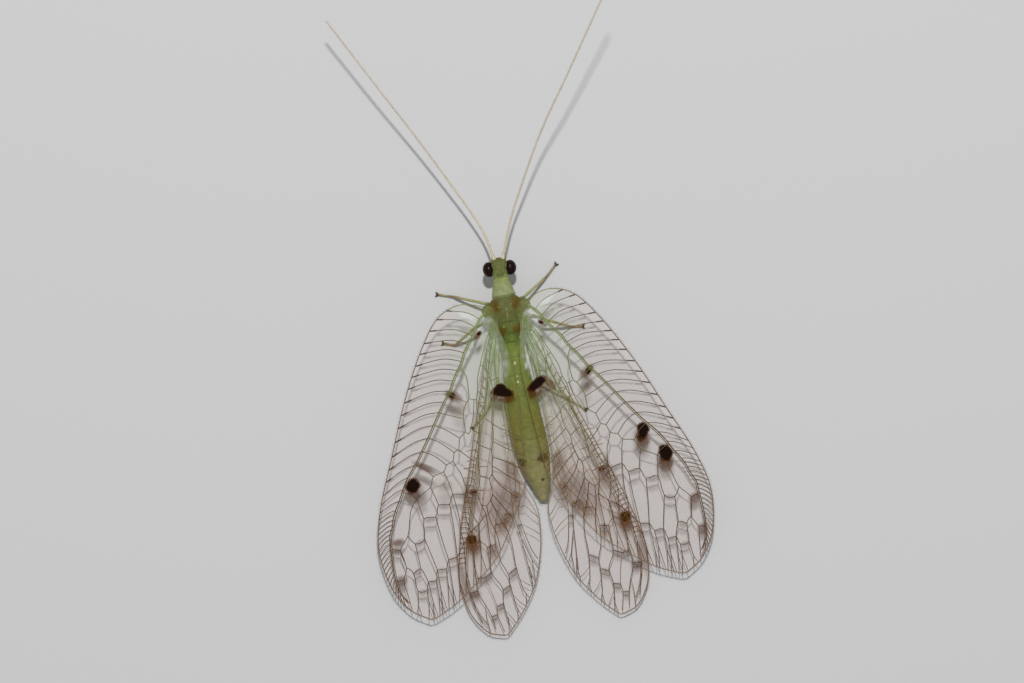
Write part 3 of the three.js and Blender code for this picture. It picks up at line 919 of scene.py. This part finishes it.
def film(name, side, front, hind, drop, spots, grid):
    """A wing's membrane, with the depth of its dark spots, its brown clouds and painted shadows, its milk
    and painted glints, and its green at every point.
    """
    across, along = grid
    front, hind = [smooth_path([(*place, 0) for place in edge], 24) for edge in (front, hind)]
    edges = []
    for path in (front, hind):
        whole = path_length(path)
        edges.append(walk(path, [whole * k / along for k in range(along + 1)]))
    bm = bmesh.new()
    bmesh.ops.create_grid(bm, x_segments=along, y_segments=across, size=1.0)
    for vertex in bm.verts:
        k = round((vertex.co.x + 1) / 2 * along)
        part = (vertex.co.y + 1) / 2
        flat = edges[0][k][0].lerp(edges[1][k][0], part)
        vertex.co = (side * flat.x, flat.y, roof(flat.x, flat.y) - drop + ripple(flat, drop))
    bmesh.ops.remove_doubles(bm, verts=bm.verts, dist=1e-4)
    bmesh.ops.recalc_face_normals(bm, faces=bm.faces)
    bmesh.ops.solidify(bm, geom=bm.faces, thickness=FILM_THICKNESS)
    mesh = mesh_of(bm, name)
    for kind in (DARK, CLOUD_AND_SHADOW, MILK_AND_GLINT):
        depth = mesh.attributes.new(kind, "FLOAT", "POINT")
        marks = [spot for spot in spots if spot[0] == kind]
        for vertex, value in zip(mesh.vertices, depth.data):
            value.value = spot_depth(marks, kind, abs(vertex.co.x) / STEP, vertex.co.y / STEP)
    green = mesh.attributes.new(GREEN, "FLOAT", "POINT")
    for vertex, value in zip(mesh.vertices, green.data):
        across = (abs(vertex.co.x) - GREEN_HEART[0]) * GREEN_NARROW
        away = math.hypot(across, vertex.co.y - GREEN_HEART[1])
        value.value = bump(away, GREEN_REACH)
    return mesh


def film_finish():
    """Clear film, green by the body and brownish beyond, with dark spots, soft brown clouds (some of them
    painted shadows), and a whitish milk that is partly painted sheen and whose thin strong streaks are
    painted glints.
    """
    finish = Finish("wing_film")
    rough = finish.grain(2200.0, 4.0)
    fine = finish.grain(9000.0, 2.0)
    wander = (rough - 0.5) * 1.3 + (fine - 0.5) * 0.5
    spot = finish.attribute(DARK, "Fac")
    dark = finish.ramp(spot * 1.6 + wander * finish.ramp(spot, 0.0, 0.3), 0.3, 1.1)
    # The cloud includes painted shadows behind dark spots and behind the cross veins.
    cloud = finish.ramp(finish.attribute(CLOUD_AND_SHADOW, "Fac") * (0.75 + rough * 0.5), 0.0, 1.0)
    # Milk: a whitish veil, partly painted sheen; its thin strong streaks are painted glints.
    milk = finish.attribute(MILK_AND_GLINT, "Fac") * finish.ramp(rough, 0.3, 0.6, 0.3, 1.0)
    clear = finish.mix(rough, linear(178, 116, 40), linear(198, 134, 54))
    clear = finish.mix(finish.attribute(GREEN, "Fac") * 0.9, clear, linear(176, 206, 120))
    pale = finish.mix(finish.ramp(milk, 0.0, 0.3), clear, linear(226, 232, 222))
    brown = finish.mix(finish.ramp(cloud, 0.0, 0.35), pale, linear(98, 54, 4))
    rim = finish.mix(finish.ramp(dark, 0.0, 0.2), brown, linear(92, 46, 2))
    colour = finish.mix(finish.ramp(dark, 0.42, 0.98), rim, linear(24, 10, 3))
    solid = 1 - (1 - dark * 0.97) * (1 - cloud * 0.5) * (1 - milk * 0.4)
    alpha = finish.ramp(0.042 + solid * 0.958, 0.0, 1.0)
    pleats = finish.relief(finish.grain(1500.0, 3.0), 0.00003)
    shine = finish.ramp(dark, 0.0, 0.5, 0.3, 0.7)
    varying = {"base_color": colour, "roughness": shine, "alpha": alpha, "normal": pleats}
    return finish.surface(specular_ior_level=0.05, **varying)


film_gloss = film_finish()
for side, name, own in ((1, "left", LEFT_SPOTS), (-1, "right", RIGHT_SPOTS)):
    spots = BOTH_SPOTS + own + edging_and_shadow(FORE_CROSS, *FORE_EDGING_AND_SHADOW)
    mesh = film(f"forewing_{name}_film", side, FORE_FRONT, FORE_HIND, 0.0, spots, FORE_GRID)
    finish_piece(mesh.name, mesh, film_gloss, [f"forewing_{name}"])
    spots = HIND_SPOTS["both"] + HIND_SPOTS[name] + edging_and_shadow(HIND_CROSS, *HIND_EDGING_AND_SHADOW)
    mesh = film(f"hindwing_{name}_film", side, HIND_FRONT, HIND_HIND, WING_SPACING, spots, HIND_GRID)
    finish_piece(mesh.name, mesh, film_gloss, [f"hindwing_{name}"])


# The wings' veins: a stiff net of tubes on the film, thick and green at the hinges and thin
# and brown outwards. A wing has its long veins, the cross veins between them, the front veins
# that run to its front margin, and its two edges.

FORE_TRUNK = [
    (18, -84), (30, -73), (38, -60), (44, -52), (50, -44), (55, -34), (61, -26), (66, -18), (71, -9),
    (78, 0), (85, 10), (92.5, 21), (100.5, 33), (109, 45), (117, 56), (127, 68), (134, 79), (140, 90),
    (145, 98), (149, 106), (152, 115), (156, 124), (157, 135), (158, 150), (158, 165), (156, 180),
    (150, 192),
]
FORE_ZIGZAG = [
    (56, -30), (52, -22), (51.5, -15), (52, -5), (53, 2), (56, 5), (60, 12), (62, 20), (62.5, 33),
    (69, 39), (72, 49), (77, 52), (80, 60), (87, 63), (91, 69), (102, 72), (107, 82), (122, 91),
    (130, 101), (133, 110), (138, 126), (148, 139), (145, 157), (150, 169), (149, 180), (147, 200),
]
FORE_LONG = [
    [
        (18, -80), (18.5, -71), (20, -62), (25, -54), (30, -43), (36, -29), (41, -16), (43, -4),
        (46, 4), (47, 14), (46, 22), (50, 38), (55, 52), (60, 66), (66, 85), (71, 91),
    ],
    [
        (18, -79), (18, -70), (19, -60), (23, -52), (28, -40), (30, -27), (31, -15), (34, -4), (37, 6),
        (39, 12), (44, 18), (49, 38), (52, 50), (55, 65), (56, 80), (60, 92), (62, 94),
    ],
    [
        (17, -78), (16.5, -68), (18, -56), (22, -46), (26, -33), (29, -22), (28, -12), (28, -3),
        (30, 8), (32, 18), (35, 29), (35, 38), (37, 48), (40, 56), (40.5, 64), (42, 72), (44, 80),
        (47, 84), (47, 92), (47, 100), (50, 105), (55, 110), (60, 108),
    ],
    [(16, -76), (15.5, -65), (16, -54), (18, -44), (21, -33), (22, -22), (22, -9)],
    [(15, -72), (13, -62), (12, -50), (13, -38), (14, -26), (15, -14), (15, -5)],
    [(48, 3), (50, 12), (52, 20), (57, 33), (60, 36), (62.5, 33)],
    [(80, 60), (77, 68), (74, 75), (72, 88), (71, 91)],
    [(91, 69), (88, 80), (86, 93)],
    [(107, 82), (104, 92), (102, 101)],
    [(122, 91), (121, 101), (119, 112)],
    [(91, 102), (91, 120), (92, 140), (93, 155)],
    [(107, 112), (105, 135), (102, 157)],
    [(122, 132), (118, 150), (115, 165)],
    [(132, 135), (131.5, 148), (131, 161)],
    [(148, 139), (146, 148), (145, 157)],
    [(71, 91), (72, 105), (70, 118), (66, 127)],
    [(74, 95), (77, 112), (77, 123), (75, 133)],
    [(86, 93), (84, 117), (85, 130), (84, 143)],
    [(62, 94), (61, 102), (60, 108), (57, 118)],
]
FORE_FORKS = [
    # where a veinlet starts, where it splits, and how far apart its two ends are at the margin
    ((57, 118), (58, 148), 7), ((66, 127), (69, 158), 7), ((75, 133), (78, 166), 6),
    ((84, 143), (87, 172), 6), ((93, 155), (95, 181), 6),
    ((102, 157), (103, 186), 3), ((106, 165), (107, 181), 6), ((115, 165), (115, 186), 5),
    ((118, 175), (118, 192), 5), ((126, 175), (125, 196), 4),
    ((129, 183), (129, 195), 6), ((138, 182), (140, 197), 5),
]
HIND_TRUNK = [
    (17, -56), (20, -46), (30, -20), (38, 5), (48, 36), (60, 76), (70, 107), (77, 130), (82, 148),
    (86, 165), (88, 182), (87, 200), (82, 216), (76, 228),
]
HIND_LONG = [
    [
        (17, -56), (21, -40), (30, -8), (36, 14), (44, 38), (54, 66), (62, 92), (68, 112), (73, 128),
        (75, 148), (77, 165), (79, 193), (74, 208), (70, 221), (68, 234),
    ],
    [
        (17, -55), (20, -36), (26, -5), (31, 18), (38, 45), (47, 72), (55, 95), (60, 112), (66, 127),
        (68, 143), (62, 152), (62, 177), (56, 190), (54, 197), (56, 210), (54, 230),
    ],
    [
        (16, -54), (18, -30), (20, 0), (21, 25), (22, 50), (26, 70), (32, 90), (42, 110), (50, 131),
        (53, 150), (51, 168), (46, 182), (46, 193), (44, 214),
    ],
    [
        (15, -52), (16, -26), (17, 0), (18, 30), (18, 60), (20, 74), (22, 92), (26, 104), (38, 122),
        (40, 130), (37, 152), (37, 177), (34, 200),
    ],
    [(26, 26), (26, 50), (27, 78), (28, 100), (30, 124), (28, 136), (26, 160), (24, 190)],
    [(20, 74), (18, 90), (20, 104), (22, 111), (25, 122), (24, 135), (19, 160), (14, 172)],
    [(70, 181), (66, 195), (63, 212), (64, 220), (60, 238)],
    [(87, 194), (84, 210), (80, 226)],
    [(17, 117), (12, 124), (6, 131)], [(24, 135), (14, 142), (8, 148)], [(34, 100), (26, 116), (17, 117)],
    [(74, 208), (75, 220), (74, 236)], [(55, 218), (50, 226), (47.5, 231)],
    [(45, 203), (39, 212), (34.5, 216)],
    [(35.5, 189), (29, 195), (23.5, 198)],
]
HIND_FORKS = [
    ((34, 200), (32, 204), 4), ((44, 214), (43, 218), 4), ((24, 178), (23, 186), 4),
    ((54, 224), (54, 230), 4), ((26, 150), (20, 172), 5),
]
BASE_GREEN, OUTER_BROWN, CROSS_BROWN = (130, 152, 76), (100, 68, 30), (86, 53, 22)
HIND_BASE, EDGE_BROWN, TICK_DARK = (178, 194, 146), (132, 100, 66), (66, 30, 8)
# Where the veins dive into the body, and how deep.
ROOTS, ROOT_DEPTH, ROOT_REACH, ROOT_LENGTH = (1.1, -5.2), 0.32, 1.5, 0.45
TIP_ZONE = 8
# The radii at a vein's root and at its end.
EDGE_RADII = ((0.026, 0.042), (0.014, 0.032))
STEM_RADII, TWIN_RADII, TWIN_SHIFT = (0.055, 0.038), (0.04, 0.026), (-1.5, 0.8)
LONG_RADII, SHORT_RADII, ZIGZAG_RADII = (0.03, 0.031), (0.03, 0.029), (0.034, 0.026)
CROSS_RADII, STALK_RADII, TINE_RADII = (0.03, 0.03), (0.028, 0.026), (0.024, 0.021)
FRONT_RADII, FRONT_BOW = (0.02875, 0.025), 0.1
# How many front veins have a dark tick at each end, and the ticks' thickness.
TICKED, TICK_SWELL, TICK_RADII = 15, 1.9, (0.034, 0.026)


def line_end(curve, out):
    """Where the margin by the tip lies, in steps back, at this many steps out."""
    return min((abs(place.x / STEP - out), place.y / STEP) for place in curve if place.y > TIP_ZONE)[1]


def lay(points, side, drop, radii, steps=5):
    """A vein's run along the wing's drawing, on the film, with its radius from one end to the other."""
    flat = [(out * STEP, back * STEP, 0) for out, back in points]
    path = smooth_path(flat, steps if len(flat) > 2 else 6)
    run = []
    for k, place in enumerate(path):
        radius = radii[0] + (radii[1] - radii[0]) * k / (len(path) - 1)
        rooted = bump(math.hypot(path[0].x - ROOTS[0], path[0].y - ROOTS[1]), ROOT_REACH)
        sunk = ROOT_DEPTH * rooted * bump((place - path[0]).length, ROOT_LENGTH)
        height = roof(place.x, place.y) - drop + ripple(place, drop) - sunk
        run.append((Vector((side * place.x, place.y, height)), radius))
    return run


def margin_run(curve, side, drop, radii):
    points = [(place.x / STEP, place.y / STEP) for place in curve]
    return lay(points, side, drop, radii, 1)


def vein_tint(hinge, base, outer, reach):
    """One colour by the hinge, another this far out."""
    def tint(place, normal):
        away = math.hypot(abs(place.x) - hinge[0], place.y - hinge[1]) / reach
        return linear(*Vector(base).lerp(Vector(outer), min(away, 1) ** 1.3))
    return tint


def front_runs(front, stem_path, side, drop, spots):
    """The arched cross veins from the wing's stem vein to its front margin."""
    runs = []
    ends = [walk(path, places) for path, places in zip((stem_path, front), spots)]
    for (inner, ahead), (outer, _) in zip(*ends):
        middle = inner.lerp(outer, 0.45) - ahead * (outer - inner).length * FRONT_BOW
        points = [(place.x / STEP, place.y / STEP) for place in (inner, middle, outer)]
        runs.append(lay(points, side, drop, FRONT_RADII, 6))
    return runs


def spaced(start, gaps):
    """Distances along a vein from its first one and the gaps after it."""
    out = [start]
    for gap in gaps:
        out.append(out[-1] + gap)
    return out


# Where the front veins leave the stem vein and reach the front margin: the first, then the gaps.
FORE_INNER_GAPS = [9, 9, 10, 9, 9, 10, 11.5, 11, 12, 11.5, 14, 14, 15, 15, 14, 13, 12.5, 10]
FORE_OUTER_GAPS = [
    13.3, 13.5, 13.6, 11.7, 12.6, 11.6, 12.5, 14.3, 13, 13.4, 14.3, 14.9, 13.4, 12.5, 14.4, 9, 8, 7,
]
FRONT_SPOTS = {
    "forewing": (spaced(14, FORE_INNER_GAPS + [5.0] * 22), spaced(52, FORE_OUTER_GAPS + [5.2] * 22)),
    "hindwing": (
        spaced(10, [9] * 12 + [7] * 6 + [5] * 14),
        spaced(16, [9.3] * 12 + [7.2] * 6 + [5.2] * 14),
    ),
}
WINGS = {
    "forewing": (0.0, FORE_FRONT, FORE_HIND, FORE_TRUNK, FORE_LONG, FORE_CROSS, FORE_FORKS),
    "hindwing": (WING_SPACING, HIND_FRONT, HIND_HIND, HIND_TRUNK, HIND_LONG, HIND_CROSS, HIND_FORKS),
}
WING_LOOKS = {
    # hinge, colour there, how stout the stem is, and how stout the long veins' roots are
    "forewing": ((1.4, -6.2), BASE_GREEN, 1.0, 1.0),
    "hindwing": ((1.3, -4.2), HIND_BASE, 0.62, 0.45),
}
vein_finish = tinted("vein_horn", 0.4, 0.2, 3000.0)
fringed, haired = [], []
for side, name in ((1, "left"), (-1, "right")):
    for wing, (drop, front, hind, stem, long, cross, forks) in WINGS.items():
        hinge, base, stout, rooted = WING_LOOKS[wing]
        front, hind = [smooth_path([(*place, 0) for place in edge], 14) for edge in (front, hind)]
        stem_path = smooth_path([(out * STEP, back * STEP, 0) for out, back in stem], 8)
        twin = [(out + TWIN_SHIFT[0], back + TWIN_SHIFT[1]) for out, back in stem]
        edges = [margin_run(edge, side, drop, radii) for edge, radii in zip((front, hind), EDGE_RADII)]
        thick = []
        for points, radii in ((stem, STEM_RADII), (twin, TWIN_RADII)):
            thick.append(lay(points, side, drop, [radius * stout for radius in radii]))
        for points in long:
            start, end = LONG_RADII if len(points) > 8 else SHORT_RADII
            thick.append(lay(points, side, drop, (start * rooted, end), 5 if len(points) > 8 else 3))
        if wing == "forewing":
            thick.append(lay(FORE_ZIGZAG, side, drop, ZIGZAG_RADII, 4))
        thin = [lay(points, side, drop, CROSS_RADII, 5 if len(points) < 5 else 3) for points in cross]
        for start, split, spread in forks:
            thin.append(lay([start, split], side, drop, STALK_RADII))
            for away in (-0.5, 0.5):
                out = split[0] + spread * away + (split[0] - start[0]) * 0.4
                thin.append(lay([split, (out, line_end(hind + front, out))], side, drop, TINE_RADII))
        room = path_length(stem_path) - 0.2, path_length(front) - 0.5
        spots = zip(*([spot * STEP for spot in row] for row in FRONT_SPOTS[wing]))
        spots = [pair for pair in spots if pair[0] < room[0] and pair[1] < room[1]]
        fronts = front_runs(front, stem_path, side, drop, zip(*spots))
        parts = (
            # the runs, their colour away from the hinge, and how far out that is
            ("veins", thick, OUTER_BROWN, 17),
            ("cross_veins", thin, CROSS_BROWN, 14),
            ("front_edge", edges[:1], EDGE_BROWN, 5),
            ("hind_edge", edges[1:], EDGE_BROWN, 16),
            ("front_veins", fronts, CROSS_BROWN, 4),
        )
        for part, runs, outer, reach in parts:
            piece = f"{wing}_{name}_{part}"
            tint = vein_tint(hinge, base, outer, reach)
            finish_piece(piece, tubes(piece, runs, 1), vein_finish, tint=tint)
        if wing == "forewing":
            ticks = [[(place, radius * TICK_SWELL) for place, radius in run[-3:]] for run in fronts[:TICKED]]
            for run in fronts[:TICKED:2]:
                ticks.append([(place, radius) for (place, _), radius in zip(run, TICK_RADII)])
            mesh = tubes("ticks", ticks, 1)
            finish_piece(f"vein_ticks_{name}", mesh, vein_finish, tint=plain(TICK_DARK))
        fringed += edges
        haired += thick[:4]


# The hairs: a fine brown fringe on the wings' margins and bristles on their veins, short hairs
# on legs and feelers, and a thin pale down on the body. Each is a three-sided spike of mesh.

FRINGE_BROWN, VEIN_HAIR = (128, 98, 64), (92, 66, 40)
LIMB_HAIR, DOWN_PALE = (150, 132, 104), (186, 188, 160)
HAIR_RADIUS, FRINGE_RADIUS = 0.009, 0.012
FRINGE_LENGTHS, BRISTLE_LENGTHS, DOWN_LENGTHS = (0.15, 0.26), (0.1, 0.17), (0.14, 0.24)
FRINGE_GAP, FRINGE_START, BRISTLE_GAP = 0.07, 3.0, 0.4
DOWN_HAIRS, TAIL_HAIRS, DOWN_TRIES = 1100, 170, 28600
DOWN_LOWEST, TAIL_FROM, BALD_HEAD = 0.3, 7.6, 0.75
LEG_HAIRS, LEG_HAIR_LENGTH, LEG_HAIR_LOWEST = 32, 0.1, 0.02
FEELER_HAIRS, FEELER_HAIR_LENGTH = 420, 0.07
HAIR_BATCH, PATCH = 150, 0.0015


def hairs(name, roots, ink, unwrap):
    """Spikes from their roots along their leans, each a small patch at its root's place on the map."""
    whole = bmesh.new()
    for first in range(0, len(roots), HAIR_BATCH):
        bm = bmesh.new()
        patch = bm.loops.layers.uv.new("OFBake")
        for root, lean, length, radius in roots[first : first + HAIR_BATCH]:
            turn = lean.to_track_quat("Z", "Y").to_matrix().to_4x4()
            matrix = Matrix.Translation(root + lean * length * 0.45) @ turn
            spike = {"radius1": radius, "radius2": radius * 0.15, "depth": length, "matrix": matrix}
            made = bmesh.ops.create_cone(bm, cap_ends=True, segments=3, **spike)
            middle = Vector(unwrap(root))
            for vertex in made["verts"]:
                local = turn.inverted() @ (vertex.co - root)
                corner = middle + Vector((local.x / radius * PATCH, (local.z / length * 2 - 0.9) * PATCH))
                for loop in vertex.link_loops:
                    loop[patch].uv = corner
        whole.from_mesh(mesh_of(bm, name))
    finish_piece(name, mesh_of(whole, name), hair_finish, tint=plain(ink))


def flat_map(root):
    """A wing laid flat on the map."""
    return 0.5 + root.x / 40, 0.3 + root.y / 40


def body_map(root):
    """The body's skin unrolled: round it, and along it."""
    sideways, half_width, half_height, middle = between(BODY_ROWS, root.y)
    around = math.atan2(root.x - sideways, root.z - middle) / math.tau
    return 0.5 + around * 0.96, 0.05 + 0.9 * (root.y + 10.6) / 20


def limb_roots(run, count, length):
    """Roots all round a limb's run, leaning towards its tip."""
    roots = []
    for _ in range(count):
        spot = random.randrange(1, len(run) - 1)
        (place, radius), (beyond, _) = run[spot], run[spot + 1]
        ahead = (beyond - place).normalized()
        out = ahead.cross(Vector(random.gauss(0, 1) for _ in range(3))).normalized()
        lean = (out * 0.75 + ahead * 0.65).normalized()
        if place.z + (out.z * radius + lean.z * length) * 1.2 < LEG_HAIR_LOWEST:
            continue
        roots.append((place + out * radius * 0.9, lean, random.uniform(0.7, 1.2) * length, HAIR_RADIUS))
    return roots


hair_finish = tinted("fine_hair", 0.5, 0.2, 6000.0)
fringe, bristles = [], []
for run in fringed:
    path = [place for place, radius in run]
    middle = sum(path, Vector()) / len(path)
    counts = range(int(FRINGE_START / FRINGE_GAP), int(path_length(path) / FRINGE_GAP))
    for place, ahead in walk(path, [FRINGE_GAP * k for k in counts]):
        out = ahead.cross(Vector((0, 0, 1)))
        out *= 1 if out.dot(place - middle) > 0 else -1
        lean = out + ahead * random.uniform(0.4, 0.9)
        lean.z += random.uniform(-0.2, 0.2)
        fringe.append((place, lean.normalized(), random.uniform(*FRINGE_LENGTHS), FRINGE_RADIUS))
for run in haired:
    path = [place for place, radius in run]
    counts = range(2, int(path_length(path) / BRISTLE_GAP))
    for place, ahead in walk(path, [BRISTLE_GAP * k for k in counts]):
        lean = Vector((random.uniform(-0.6, 0.6), random.uniform(-0.6, 0.6), 1)) + ahead * 0.7
        bristles.append((place, lean.normalized(), random.uniform(*BRISTLE_LENGTHS), HAIR_RADIUS))
hairs("wing_fringe", fringe, FRINGE_BROWN, flat_map)
hairs("vein_bristles", bristles, VEIN_HAIR, flat_map)

down = []
ahead_frame = Vector((0, FRAME_AHEAD, 0))
for vertex in random.sample(list(skin.data.vertices), DOWN_TRIES):
    if len(down) >= DOWN_HAIRS + TAIL_HAIRS:
        break
    place, normal = vertex.co / METRES - ahead_frame, vertex.normal.copy()
    on_head = place.y < NECK.y and random.random() < BALD_HEAD
    if place.z < DOWN_LOWEST or on_head or place.y < TAIL_FROM and len(down) >= DOWN_HAIRS:
        continue
    lean = normal * 0.7 + Vector((random.uniform(-0.3, 0.3), 0.8, random.uniform(-0.2, 0.2)))
    down.append((place, lean.normalized(), random.uniform(*DOWN_LENGTHS), HAIR_RADIUS))
hairs("body_down", down, DOWN_PALE, body_map)

for name, run in feeler_runs.items():
    roots = limb_roots(run, FEELER_HAIRS, FEELER_HAIR_LENGTH)
    hairs(f"feeler_{name}_hairs", roots, LIMB_HAIR, flat_map)
leg_hairs = []
for run in leg_runs:
    leg_hairs += limb_roots(run, LEG_HAIRS, LEG_HAIR_LENGTH)
hairs("leg_hairs", leg_hairs, LIMB_HAIR, flat_map)


# The floor, the light and the camera: a plain pale sheet, one soft lamp up the picture and a
# white surround, and a camera straight overhead with the body leaning in its frame.

FLOOR_HALF = 1.5
FIELD_WIDTH = 0.0768
CAMERA_HEIGHT = 0.6
CAMERA_AIM = Vector((0.0195, FRAME_AHEAD - 3.51, 2.3)) * METRES
CAMERA_TURN = math.radians(169.6)
PICTURE_UP = Vector((-0.1805, -0.9836, 0))
LAMP_LEAN, LAMP_AWAY, LAMP_SIZE, LAMP_POWER = math.radians(20), 0.5, 0.03, 1.66
SURROUND, FLOOR_GREY = 0.37, (202, 202, 203)

bm = bmesh.new()
bmesh.ops.create_grid(bm, x_segments=1, y_segments=1, size=FLOOR_HALF)
floor = bpy.data.objects.new("floor", mesh_of(bm, "floor"))
paper = Finish("pale_floor")
floor.data.materials.append(paper.surface(base_color=linear(*FLOOR_GREY), roughness=0.9))
bpy.context.scene.collection.objects.link(floor)

lamp_data = bpy.data.lights.new("lamp", "AREA")
lamp_data.shape, lamp_data.size, lamp_data.energy = "DISK", LAMP_SIZE, LAMP_POWER
lamp = bpy.data.objects.new("lamp", lamp_data)
lamp.location = (PICTURE_UP * math.sin(LAMP_LEAN) + Vector((0, 0, math.cos(LAMP_LEAN)))) * LAMP_AWAY
lamp.rotation_euler = (-lamp.location).to_track_quat("-Z", "Y").to_euler()
bpy.context.scene.collection.objects.link(lamp)

world = bpy.data.worlds.new("white_surround")
world.use_nodes = True
world.node_tree.nodes["Background"].inputs["Color"].default_value = (1, 1, 1, 1)
world.node_tree.nodes["Background"].inputs["Strength"].default_value = SURROUND
bpy.context.scene.world = world
bpy.context.scene.view_settings.view_transform = "Standard"

camera_data = bpy.data.cameras.new("camera")
camera_data.sensor_width = 36.0
camera_data.lens = camera_data.sensor_width * CAMERA_HEIGHT / FIELD_WIDTH
camera = bpy.data.objects.new("camera", camera_data)
camera.location = CAMERA_AIM + Vector((0, 0, CAMERA_HEIGHT))
camera.rotation_euler = (0, 0, CAMERA_TURN)
bpy.context.scene.collection.objects.link(camera)
bpy.context.scene.camera = camera
